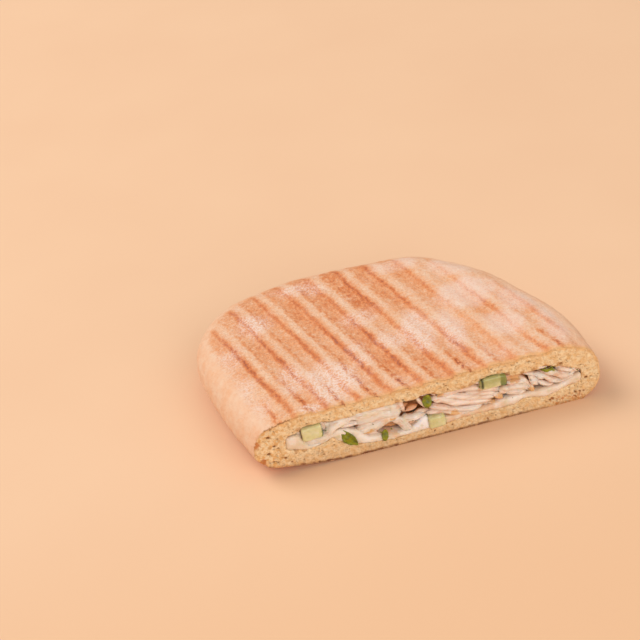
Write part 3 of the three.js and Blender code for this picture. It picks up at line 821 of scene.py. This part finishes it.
# %% Shreds of chicken: a smooth line
def route_point(route, share):
    """A place and a heading on the smooth line through the route's places."""
    spans = len(route) - 1
    reach = min(share * spans, spans - 1e-6)
    i = int(reach)
    t = reach - i
    before, start, end, after = (route[min(max(k, 0), spans)] for k in (i - 1, i, i + 1, i + 2))
    bend = (end - before) / 2
    leave = (after - start) / 2
    place = (
        start * (2 * t**3 - 3 * t**2 + 1) + bend * (t**3 - 2 * t**2 + t)
        + end * (3 * t**2 - 2 * t**3) + leave * (t**3 - t**2)
    )
    heading = (
        start * (6 * t**2 - 6 * t) + bend * (3 * t**2 - 4 * t + 1)
        + end * (6 * t - 6 * t**2) + leave * (3 * t**2 - 2 * t)
    )
    return place, heading.normalized()


def route_length(route):
    return sum((b - a).length for a, b in zip(route, route[1:]))


straight = [Vector((0, 0, 0)), Vector((10, 0, 0))]
print("halfway along a straight line:", tuple(round(c, 2) for c in route_point(straight, 0.5)[0]))

# %% [markdown]
# A strip starts as a round bar with many sides. Its long edges are cut into short steps, and then every point
# is carried onto the strip's own line, drawn in between the fibres and thinned towards the torn ends.

# %% Shreds of chicken: one strip
SIDES = 26
STEP_LENGTH = 1.1
FIBRE_WIDTH = 1.25
GROOVE = 0.2
TORN = 1.6
# How much narrower a strip is at its ends, and over what length it grows to its full width
END_GIRTH = 0.3
END_LENGTH = 3.4


def add_shred(bm, route, wide, thick, seed):
    """Adds one strip along a route in millimetres, that wide up the cut and that thick into it."""
    draw = random.Random(seed)
    length = route_length(route)
    strip = bmesh.new()
    bmesh.ops.create_cone(
        strip, cap_ends=True, cap_tris=True, segments=SIDES, radius1=1, radius2=1, depth=1,
    )
    rails = [e for e in strip.edges if abs(e.verts[0].co.z - e.verts[1].co.z) > 0.5]
    bmesh.ops.subdivide_edges(strip, edges=rails, cuts=max(4, int(length / STEP_LENGTH)))
    fibres = max(5, round((wide + thick) * 1.6 / FIBRE_WIDTH))
    starts = [draw.uniform(-TORN, TORN * 0.4) for _ in range(fibres)]
    ends = [draw.uniform(-TORN, TORN * 0.4) for _ in range(fibres)]
    deep = [draw.uniform(0.5, 1.3) for _ in range(fibres)]
    twist = draw.uniform(-0.5, 0.5)
    drift = Vector((draw.uniform(0, 90), draw.uniform(0, 90), draw.uniform(0, 90)))
    for vert in strip.verts:
        share = vert.co.z + 0.5
        radius = math.hypot(vert.co.x, vert.co.y)
        angle = math.atan2(vert.co.y, vert.co.x) + twist * (share - 0.5)
        turn = (angle / math.tau % 1) * fibres
        fibre = int(turn) % fibres
        ridge = abs(math.sin(math.pi * turn))
        place, heading = route_point(route, share)
        across = Vector((-heading.z, 0, heading.x)).normalized()
        into = heading.cross(across)
        taper = END_GIRTH + (1 - END_GIRTH) * eased(min(share, 1 - share) * length, -0.6, END_LENGTH)
        swell = 1 + 0.16 * lumps(drift + Vector((share * length / 7, 0, math.cos(angle))), 1, 2)
        girth = radius * taper * swell * (1 - GROOVE * deep[fibre] * (1 - ridge) ** 1.5)
        slip = starts[fibre] * (1 - eased(share, 0, 0.2)) - ends[fibre] * eased(share, 0.8, 1)
        offset = across * (math.cos(angle) * wide / 2) + into * (math.sin(angle) * thick / 2)
        spot = place + offset * girth - heading * slip
        spot += across * relief(drift + spot, 2.6, 0.22)
        vert.co = at(*spot)
    pour(strip, bm)


print("a strip of 4 by 4 mm has", round((4 + 4) * 1.6 / FIBRE_WIDTH), "fibres")

# %% [markdown]
# The strips that show are the ones of the solid, with the same lines, so that the dressed food and the plain
# solid agree.

# %% Shreds of chicken: the strips at the cut
SWAY = 0.5
# Each: places along the cut and up, then width, thickness and how far behind the cut it lies
SHREDS = [
    (((23, 12.8), (29, 12.5), (34, 15), (38, 18.4), (46, 19.4)), 4.2, 4.6, 0.2),
    (((31.5, 19.4), (36, 20)), 2.4, 4, 1.6),
    (((45, 20.1), (55, 20.8), (64, 20.6), (68.2, 18.2)), 3.8, 5, 0.2),
    (((46, 16.6), (55, 17.2), (62, 17.8), (67.8, 17.2)), 4.6, 5.4, 0),
    (((46.5, 13), (54, 12.8), (61, 14.6), (66.5, 15.4)), 4.4, 5, 0.3),
    (((48, 10.9), (55, 10.7), (60, 12.4)), 2.4, 4, 0.8),
    (((62.5, 13.2), (66.5, 11.6), (69, 8.6), (71.5, 5)), 3.8, 4.4, 0.3),
    (((67.5, 12.4), (73, 12.2), (79, 12.6)), 3.2, 4.4, 0.8),
    (((69.5, 14.8), (73, 15.9), (76.5, 16.2)), 2.6, 4, 2.6),
    (((69, 19.4), (78, 19.2)), 2.4, 3.4, 4.8),
    (((75.2, 22.4), (76.9, 19.4), (78.8, 15.6)), 2, 4.4, 0.6),
    (((85, 20.2), (94, 20.6), (102, 19.2), (108, 17.3), (114, 15.7)), 2.9, 4.6, 0.7),
    (((81, 19), (86, 17.8), (90, 15.8), (95, 13.7), (103, 11.6), (110, 10.4)), 3.8, 5, 0.3),
    (((80.4, 15.9), (84, 14.6), (88, 12.6), (92, 10.6), (97, 9.2), (105, 8.6)), 2.6, 5, 0.4),
    (((79.2, 13), (83, 12), (87.5, 10.6), (92, 8.9), (99, 7.8), (106, 7.6)), 2.6, 4.6, 0.7),
    (((86, 19.2), (92, 17.7), (98, 15.9), (106, 13.6), (112.5, 12.4)), 3.2, 4.8, 0.5),
    (((109, 14.4), (112, 12.6), (114.6, 10.2)), 3.4, 4.6, 0.2),
    (((107, 9.8), (112, 8.6)), 2.6, 4, 1),
    (((115, 19.6), (120, 19.2), (125.5, 17)), 3.8, 4, 2.2),
    (((116, 17.2), (121, 17.1), (126, 15.4)), 2.2, 4.4, 1.1),
    (((113.5, 15.6), (119, 14.9), (124, 14), (126.6, 12.6)), 3, 4.8, 0.3),
    (((115, 13), (120, 11.6), (125.4, 11)), 3, 4.8, 0.4),
    (((126.4, 14.6), (128, 11.4), (129, 8.4)), 2.8, 3.8, 1.3),
    (((130.8, 14.6), (134.5, 11.9), (139, 10.9)), 2.6, 4.4, 0.8),
    (((129.5, 18.7), (134, 16.3), (138, 13.4), (143, 12)), 2.8, 4.8, 0.4),
    (((133.5, 19.3), (139, 17), (143, 14.4), (147, 13)), 3, 4.8, 0.3),
    (((139.5, 19.4), (144, 17.6), (148.6, 14.6)), 2.8, 4.6, 0.5),
    (((144, 19), (148, 16.8)), 1.8, 4, 1.4),
    (((137, 12.7), (143, 12.7), (148.8, 14)), 2.6, 4.6, 0.5),
    (((125, 20), (128.6, 18.8), (131.4, 16.8)), 2.4, 4, 1.6),
    (((21, 20.4), (22.4, 15.6)), 2.8, 4, 1),
    (((111.7, 17.2), (115.1, 12.6)), 3.1, 4.1, 1.5),
    (((129, 16.8), (133.5, 11.6)), 2.4, 4, 2),
    (((81.4, 22.6), (85.4, 20.4)), 2.4, 4, 1.3),
    (((98, 17.9), (105, 15.9), (112, 13.9)), 2.6, 4.2, 0.8),
]


def cut_route(line, thick, behind, number):
    """A strip's line as places in millimetres, swaying a little in and out of the cut."""
    return [
        Vector((u, behind + thick / 2 + SWAY * math.sin(number * 2.1 + i * 1.9), z))
        for i, (u, z) in enumerate(line)
    ]


chicken_bm = bmesh.new()
for number, (line, wide, thick, behind) in enumerate(SHREDS):
    add_shred(chicken_bm, cut_route(line, thick, behind, number), wide, thick, number)
print("strips at the cut:", len(SHREDS), "with", len(chicken_bm.faces), "faces")

# %% [markdown]
# Behind the front strips lie more, drawn at random from a fixed seed between the floor and the ceiling of the
# pocket, so that a gap in front shows meat in shadow behind it.

# %% Shreds of chicken: the strips behind
BEHIND_COUNT = 46
BEHIND_NEAR = 3.4
BEHIND_FAR = 8.5
BEHIND_START = 22
BEHIND_SPAN = 122
BEHIND_WIDE = 2.8
BEHIND_THICK = 2.6
# Room left under a strip's middle and over it, and how far the filling is looked at for its floor and ceiling
FLOOR_ROOM = 3
CEILING_ROOM = 1.5
SPAN_REACH = 4
SPAN_DEPTH = 12
# Each kind of strip has its own row of seeds
BEHIND_SEED = 100
GAP_SEED = 200

filling = [sandwich_mm(v.co) for n in ("chicken", "cream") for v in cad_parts[n].data.vertices]


def filling_span(u):
    """Lowest and highest point of the filling near a place along the cut."""
    heights = [p.z for p in filling if abs(p.x - u) < SPAN_REACH and p.y < SPAN_DEPTH]
    return min(heights), max(heights)


draw = random.Random(7)
for number in range(BEHIND_COUNT):
    u = BEHIND_START + BEHIND_SPAN * (number + draw.random()) / BEHIND_COUNT
    low, high = filling_span(u)
    z = draw.uniform(low + FLOOR_ROOM, high - CEILING_ROOM)
    lean = math.radians(draw.uniform(-32, 32))
    half = Vector((math.cos(lean), draw.uniform(-0.2, 0.2), math.sin(lean) * 0.6)) * draw.uniform(4, 8)
    middle = Vector((u, draw.uniform(BEHIND_NEAR, BEHIND_FAR), z))
    bow = Vector((0, 0, draw.uniform(-1.2, 1.2)))
    bowed = [middle - half, middle + bow, middle + half]
    add_shred(chicken_bm, bowed, BEHIND_WIDE, BEHIND_THICK, BEHIND_SEED + number)
print("with the strips behind:", len(chicken_bm.faces), "faces")

# %% [markdown]
# Between two front strips the eye would still look deep into the pocket in a few places, where the picture
# shows meat close behind. A short strip lies there, just behind the cut.

# %% Shreds of chicken: the strips that close gaps
GAP_THICK = 3
# Each: places along the cut and up, width, and how far behind the cut it lies
GAP_STRIPS = [
    (((75.2, 23.6), (83.8, 23.2)), 2.6, 0.7),
    (((101.6, 24), (104.6, 20.6)), 3, 1.2),
    (((107, 15), (111.5, 13.4)), 3, 1.9),
    (((112.8, 15.4), (116, 12.4)), 3.2, 0.2),
    (((123.6, 14.8), (126.6, 12)), 3, 0.2),
    (((122.6, 19), (127.6, 12)), 3.2, 1.9),
    (((127.4, 18.6), (131.6, 12)), 3.4, 1.2),
    (((131, 18.4), (136, 13.6)), 2.6, 1.9),
    (((130.6, 22.6), (135.2, 21.6)), 2.2, 0.3),
    (((146.8, 18.2), (150.4, 14.4)), 3, 0.2),
    (((31.6, 22), (33.6, 17)), 3.2, 1.2),
    (((39, 17.2), (48.4, 16.8)), 2.6, 0.9),
    (((44.6, 17.6), (48.8, 15.8)), 2.6, 0.3),
    (((127.2, 16.6), (131.2, 12.8)), 3, 0.6),
    (((130.2, 17.8), (134.6, 14.8)), 2.4, 0.9),
    (((21.4, 18.8), (22.4, 15.6)), 2, 0.6),
    (((67.4, 23), (69.4, 16)), 3, 1.9),
]

for number, (line, wide, behind) in enumerate(GAP_STRIPS):
    add_shred(chicken_bm, cut_route(line, GAP_THICK, behind, number), wide, GAP_THICK, GAP_SEED + number)
print("strips that close gaps:", len(GAP_STRIPS))

# %% [markdown]
# Behind all of them the core of the solid closes the view. Its front is cut away, so that it doesn't crowd
# the strips, and the lumps of its skin are drawn out along the cut, as the meat in there is.

# %% Shreds of chicken: the core
CORE_BACK = 9
CORE_QUAD = 1.6
CORE_PASSES = 3
CORE_LUMPS = (5, 0.6)
# How much finer the lumps are behind the cut and upwards than along it
CORE_FINER = (2, 3.2)

core_bm = welded_solid("chicken")
sliced = bmesh.ops.bisect_plane(
    core_bm, geom=[*core_bm.verts, *core_bm.edges, *core_bm.faces],
    plane_co=at(0, CORE_BACK, 0), plane_no=(0, -1, 0), clear_outer=True,
)
rim_edges = [e for e in sliced["geom_cut"] if isinstance(e, bmesh.types.BMEdge)]
bmesh.ops.triangle_fill(core_bm, edges=rim_edges, use_beauty=True)
core_bm = even_skin(core_bm, CORE_QUAD)
soften(core_bm, core_bm.verts, CORE_PASSES)
for vert in core_bm.verts:
    spot = sandwich_mm(vert.co)
    stretched = Vector((spot.x, spot.y * CORE_FINER[0], spot.z * CORE_FINER[1]))
    vert.co += vert.normal * (relief(stretched, *CORE_LUMPS) * MM)
pour(core_bm, chicken_bm)
print("chicken in all:", len(chicken_bm.faces), "faces")

# %% [markdown]
# Cooked breast is nearly white, with pink and tan between the fibres. Both the colour and the bump are drawn
# out along the cut, because that is how the fibres run, and light goes a little way into wet meat. Meat a
# few millimetres behind the cut is painted browner, as painted shade in the gaps between the strips.

# %% Finish: chicken
# Browned places of the meat: along the cut, height and radius
ROASTED = [
    (91.5, 8.2, 3.2), (112, 11, 3.6), (128.4, 10.6, 3), (52.4, 10.8, 2.6), (120.5, 19.4, 3),
    (64, 15, 1.8), (86, 21.4, 2),
]


def chicken_finish():
    f = Finish("pulled_chicken")
    strands = f.grain(2.1, 3, stretch=(0.28, 1, 1.5))
    meat = f.ramp(
        strands + (f.grain(9, 2) - 0.5) * 0.5,
        (0.22, tone(216, 172, 138)),
        (0.42, tone(236, 208, 187)),
        (0.62, tone(245, 227, 213)),
        (0.85, tone(250, 236, 228)),
    )
    roasted = f.smooth(f.grain(7, 3, shift=60), 0.62, 0.74) * 0.6
    for u, z, radius in ROASTED:
        roasted = f.most(roasted, near(f, u, z, radius))
    meat = f.mix(roasted * (0.5 + strands * 0.5), meat, tone(226, 166, 84))
    # Painted shade: meat further behind the cut is painted browner
    deep = f.smooth(f.y, 1.9, 4)
    meat = f.mix(deep * 0.9, meat, tone(212, 142, 78))
    fibre = f.grain(0.5, 3, stretch=(0.16, 1, 1.3))
    rough = 0.42 + f.grain(3, 2, shift=9) * 0.25
    return f.done(
        {"Base Color": meat, "Roughness": rough, **moist(0.25, 2, (1.0, 0.5, 0.3))},
        bumps=[(fibre, 0.2), (f.grain(1.6, 2), 0.2)],
    )


piece(chicken_bm, "chicken_shreds", chicken_finish(), "chicken", "chicken")

# %% [markdown]
# The sauce is thick: it lies under the meat with a rounded wet surface. This lower part is the solid with an
# even skin, softened and swollen a little towards the cut. Deep in the pocket it keeps few faces.

# %% Sauce under the meat
SAUCE_QUAD = 0.8
SAUCE_SHOWS = 12
SAUCE_KEEP = 0.1
SAUCE_PASSES = 6
SAUCE_LUMPS = (4.5, 0.45)
SAUCE_PUSH = 0.5

sauce_bm = even_skin(welded_solid("cream"), SAUCE_QUAD)
hidden_sauce = [v.index for v in sauce_bm.verts if sandwich_mm(v.co).y > SAUCE_SHOWS]
sauce_bm = thinned(sauce_bm, hidden_sauce, SAUCE_KEEP)
soften(sauce_bm, sauce_bm.verts, SAUCE_PASSES)
sauce_bm.normal_update()
for vert in sauce_bm.verts:
    spot = sandwich_mm(vert.co)
    front = 1 - eased(spot.y, 2, 10)
    vert.co += vert.normal * (front * (relief(spot, *SAUCE_LUMPS) + SAUCE_PUSH) * MM)
print("sauce:", len(sauce_bm.faces), "faces")

# %% [markdown]
# Sauce also clings to the strips in patches. The coat is made from the front strips themselves: their joined
# skin is pushed in and out by slow noise, so it shows only where it stands proud of the meat, as a film does.

# %% Sauce on the meat
# The strips that sauce clings to, by their place in the list, and how much wider it makes them
COATED = {0: 0.5, 1: 0.3, 2: 0.34, 3: 0.3, 4: 0.3, 6: 0.1, 7: 0.25, 20: 0.2, 21: 0.1, 25: 0.05}
COAT_QUAD = 0.55
COAT_PASSES = 4
COAT_LUMPS = (4.2, 0.75)
RUN_OFF = 0.05


def coat_share(spot):
    """How thick the sauce lies on the meat, below zero where it has run off."""
    return relief(spot + Vector((0, 33, 0)), *COAT_LUMPS) - RUN_OFF


coat_bm = bmesh.new()
for number, extra in COATED.items():
    line, wide, thick, behind = SHREDS[number]
    add_shred(coat_bm, cut_route(line, thick, behind, number), wide + extra, thick + extra, number)
coat_bm = even_skin(coat_bm, COAT_QUAD)
soften(coat_bm, coat_bm.verts, COAT_PASSES)
coat_bm.normal_update()
for vert in coat_bm.verts:
    vert.co += vert.normal * (coat_share(sandwich_mm(vert.co)) * MM)
pour(coat_bm, sauce_bm)
print("with its coat:", len(sauce_bm.faces), "faces")

# %% [markdown]
# The sauce is off-white and cloudy, warmer at the left end and tan where the meat's juice has run into it.
# Faint green patches are herbs just under its surface.

# %% Finish: sauce
def sauce_finish():
    f = Finish("herb_cream_sauce")
    cloud = f.grain(6, 2)
    cream = f.ramp(cloud, (0.3, tone(230, 210, 184)), (0.7, tone(245, 234, 224)))
    left = 1 - f.smooth(f.u, 20, 34)
    cream = f.mix(left * 0.55, cream, tone(222, 192, 152))
    cream = f.mix(near(f, 18, 16.6, 2.6) * 0.8, cream, tone(240, 222, 206))
    # Juice of the meat has run into the sauce along its lower right part and under the small leaf
    juice = f.smooth(f.u, 82, 92) * (1 - f.smooth(f.u, 106, 122) * 0.6)
    juice = f.most(juice, near(f, 62, 8, 5))
    cream = f.mix(juice * f.smooth(f.grain(4.6, 3, shift=44), 0.3, 0.6) * 0.7, cream, tone(226, 172, 120))
    cream = f.mix(near(f, 77, 9, 5), cream, tone(250, 240, 236))
    green = f.smooth(f.grain(3.4, 3, shift=21), 0.54, 0.7)
    cream = f.mix(green * 0.5, cream, tone(206, 196, 146))
    return f.done(
        {"Base Color": cream, "Roughness": cloud * 0.16 + 0.32, **moist(0.3, 3, (1.0, 0.7, 0.5))},
        bumps=[(f.grain(1.4, 2), 0.25)],
    )


piece(sauce_bm, "cream_sauce", sauce_finish(), "cream", "cream")

# %% [markdown]
# Cucumber was diced with the skin on. Its flesh is pale and watery with faint veins, and the skin is a green
# band along the side that had it. The third die lies under the bread, with painted shade at its top, and a
# dark streak runs down it.

# %% Finish: cucumber
# Which side had the skin, as the place along the cut where it starts, and the way it runs
SKINS = {"cucumber_1": (31.5, 1), "cucumber_2": (79, -1), "cucumber_3": (113.4, 1)}


def die_finish(name, start, way):
    """The flesh of one die; way is 1 where the skin lies to the right of its start and -1 to the left."""
    f = Finish(name + "_flesh")
    flesh = f.ramp(
        f.grain(2.6, 2), (0.3, tone(210, 200, 142)), (0.55, tone(219, 211, 160)), (0.8, tone(230, 222, 184)),
    )
    veins = f.smooth(f.grain(1.1, 2, stretch=(1, 1, 0.4), shift=13), 0.55, 0.7)
    flesh = f.mix(veins * 0.35, flesh, tone(186, 194, 116))
    skin = f.smooth((f.u - start) * way + (f.grain(1.5, 2) - 0.5), -0.3, 0.5)
    flesh = f.mix(skin * 0.85, flesh, tone(74, 96, 30))
    if name == "cucumber_3":
        streak = f.bump_line(f.u + (f.grain(2, 2) - 0.5), 105.2, 1.1) * f.smooth(f.z, 19.2, 20.2)
        # Painted shade at the top of the third die, under the bread
        shade = f.smooth(f.z + (f.grain(2.4, 2, shift=4) - 0.5) * 3, 19, 22.4)
        flesh = f.mix(shade * 0.6, flesh, tone(150, 150, 72))
        flesh = f.mix(streak * 0.95, flesh, tone(40, 46, 12))
    return f.done(
        {"Base Color": flesh, "Roughness": 0.3, **moist(0.35, 3, (0.8, 1.0, 0.4))},
        bumps=[(f.grain(0.9, 2), 0.15)],
    )


print("dice with skin:", len(SKINS))

# %% [markdown]
# Each die is the solid with its edges bevelled. An even skin then lets a little noise move its faces, because
# nothing cut by hand is quite flat, and the whole die is grown by a hair so that it sits snugly.

# %% Cucumber dice
DIE_BEVEL = 0.55
DIE_QUAD = 0.32
DIE_PASSES = 2
DIE_LUMPS = (2.4, 0.16)
DIE_GRAIN = (0.8, 0.05, 1)
DIE_GROWTH = 0.4
# Faces that meet at less than this angle are one side of the die
SAME_SIDE = math.radians(3)

for name, (start, way) in SKINS.items():
    die_bm = welded_solid(name)
    bmesh.ops.dissolve_limit(die_bm, angle_limit=SAME_SIDE, verts=die_bm.verts, edges=die_bm.edges)
    bmesh.ops.bevel(
        die_bm, geom=[*die_bm.verts, *die_bm.edges], offset=DIE_BEVEL * MM, offset_type="OFFSET",
        affect="EDGES", segments=3, profile=0.5, material=-1, clamp_overlap=True,
    )
    die_bm = even_skin(die_bm, DIE_QUAD)
    soften(die_bm, die_bm.verts, DIE_PASSES)
    die_bm.normal_update()
    for vert in die_bm.verts:
        spot = sandwich_mm(vert.co)
        growth = relief(spot, *DIE_LUMPS) + relief(spot, *DIE_GRAIN) + DIE_GROWTH
        vert.co += vert.normal * (growth * MM)
    piece(die_bm, name + "_die", die_finish(name, start, way), "cucumber", name)

# %% [markdown]
# The herb leaves are torn blades, thin and wavy. The solid's blade gets a finer skin, is softened at its torn
# edge and waved a little more, and is drawn forward so that its whole face shows.

# %% Herb leaves
LEAF_QUAD = 0.2
LEAF_PASSES = 3
LEAF_WAVE = (2.4, 0.28, 1)
LEAF_RIPPLE = 0.1
LEAF_FORWARD = 0.55


def leaf_finish():
    f = Finish("torn_herb_leaf")
    green = f.ramp(
        f.grain(2.2, 3),
        (0.3, tone(88, 90, 8)), (0.55, tone(130, 134, 8)), (0.8, tone(166, 158, 28)),
    )
    return f.done(
        {"Base Color": green, "Roughness": 0.42, **moist(0.15, 1)},
        bumps=[(f.grain(0.7, 3), 0.2)],
    )


leaf_material = leaf_finish()
for name in sorted(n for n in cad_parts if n.startswith("herb_leaf")):
    leaf_bm = even_skin(welded_solid(name), LEAF_QUAD)
    soften(leaf_bm, leaf_bm.verts, LEAF_PASSES)
    for vert in leaf_bm.verts:
        spot = sandwich_mm(vert.co)
        wave = relief(spot, *LEAF_WAVE) + LEAF_RIPPLE * math.sin(spot.x * 2.6 + spot.z * 1.9)
        vert.co += Vector((0, (wave - LEAF_FORWARD) * MM, 0))
    piece(leaf_bm, name + "_blade", leaf_material, "herb", name)

# %% [markdown]
# Small flecks of the same leaf are strewn through the sauce. Each is a little ball, pressed flat, made uneven
# and turned its own way. All of them are one piece, because they are one kind of thing.

# %% Herb flecks
FLECK_FLAT = 0.35
FLECK_LUMPS = (0.8, 0.2)
# Where green shows: along the cut, behind it, height and length
FLECKS = [
    (133.4, 1.2, 20.6, 1.5), (134.8, 1.0, 21.2, 1.3), (137.6, 1.2, 20.4, 1.6), (139, 1.4, 20.9, 1.2),
    (147, 1.4, 19.6, 1.3), (149.2, 0.6, 16.2, 0.9), (144.6, 1.4, 20.4, 1.2), (46.4, 0.9, 6.4, 0.9),
    (104.2, 0.6, 20.2, 1.3), (57.5, 0.4, 9.4, 1.0), (62.4, 0.7, 9.6, 1.1), (33.4, 0.8, 17.4, 0.9),
    (54.6, 0.5, 14.6, 0.8), (72.4, 0.6, 11, 0.9), (118.6, 0.6, 9.6, 0.9),
]
draw = random.Random(21)
fleck_bm = bmesh.new()
for u, y, z, length in FLECKS:
    made = bmesh.ops.create_icosphere(fleck_bm, subdivisions=2, radius=length / 2 * MM)
    verts = made["verts"]
    bmesh.ops.scale(fleck_bm, vec=(1, FLECK_FLAT, draw.uniform(0.5, 0.8)), verts=verts)
    for vert in verts:
        uneven = relief(vert.co / MM + Vector((u, y, z)), *FLECK_LUMPS)
        vert.co += vert.co.normalized() * (uneven * MM)
    lean = (draw.uniform(-0.6, 0.6), draw.uniform(-1.4, 1.4), draw.uniform(-0.5, 0.5))
    for axis, angle in zip("XYZ", lean):
        turn = Matrix.Rotation(angle, 3, axis)
        bmesh.ops.rotate(fleck_bm, cent=(0, 0, 0), matrix=turn, verts=verts)
    bmesh.ops.translate(fleck_bm, vec=at(u, y, z), verts=verts)
piece(fleck_bm, "herb_flecks", leaf_material, "herb")

# %% [markdown]
# A pale peach studio: the floor runs on behind the sandwich, so it is the backdrop too. Painted shade makes
# it a little darker in front.

# %% Floor
FLOOR_HALF = 4


def floor_finish():
    f = Finish("studio_paper")
    paper_and_front_shade = f.ramp(f.grain(90, 2), (0.3, tone(236, 194, 157)), (0.7, tone(238, 197, 160)))
    # Painted shade: the floor is painted a little darker in front of the sandwich
    front_shade = 1 - f.smooth(f.y, -140, 40)
    paper_and_front_shade = f.mix(front_shade * 0.9, paper_and_front_shade, tone(234, 188, 147))
    return f.done({"Base Color": paper_and_front_shade, "Roughness": 0.75})


floor_bm = bmesh.new()
bmesh.ops.create_grid(floor_bm, x_segments=4, y_segments=4, size=FLOOR_HALF)
floor_mesh = bpy.data.meshes.new("studio_floor")
floor_bm.to_mesh(floor_mesh)
floor_bm.free()
floor_mesh.materials.append(floor_finish())
floor = bpy.data.objects.new("studio_floor", floor_mesh)
bpy.context.scene.collection.objects.link(floor)
print("floor:", 2 * FLOOR_HALF, "m wide")

# %% [markdown]
# One large soft lamp stands behind and to the left, a weaker one in front, and the sky fills the rest. The
# white of both lamps is a little warm, as daylight through a window is.

# %% Light
WARM_WHITE = (1.0, 0.97, 0.94)
WARM_SKY = (1.0, 0.95, 0.9, 1.0)


def soft_lamp(name, place, size, power):
    """A square lamp that looks at the middle of the sandwich."""
    light = bpy.data.lights.new(name, "AREA")
    light.size = size
    light.energy = power
    light.color = WARM_WHITE
    lamp = bpy.data.objects.new(name, light)
    lamp.location = place
    lamp.rotation_euler = (-Vector(place)).to_track_quat("-Z", "Y").to_euler()
    bpy.context.scene.collection.objects.link(lamp)


soft_lamp("window", (-1.6, 1.1, 2.4), size=1.9, power=56)
soft_lamp("front_fill", (0.8, -2.6, 1.4), size=2.2, power=43)
world = bpy.data.worlds.new("studio")
world.use_nodes = True
sky = world.node_tree.nodes["Background"]
sky.inputs["Color"].default_value = WARM_SKY
sky.inputs["Strength"].default_value = 0.5
bpy.context.scene.world = world
bpy.context.scene.view_settings.view_transform = "Standard"
print("lights:", len(bpy.data.lights))
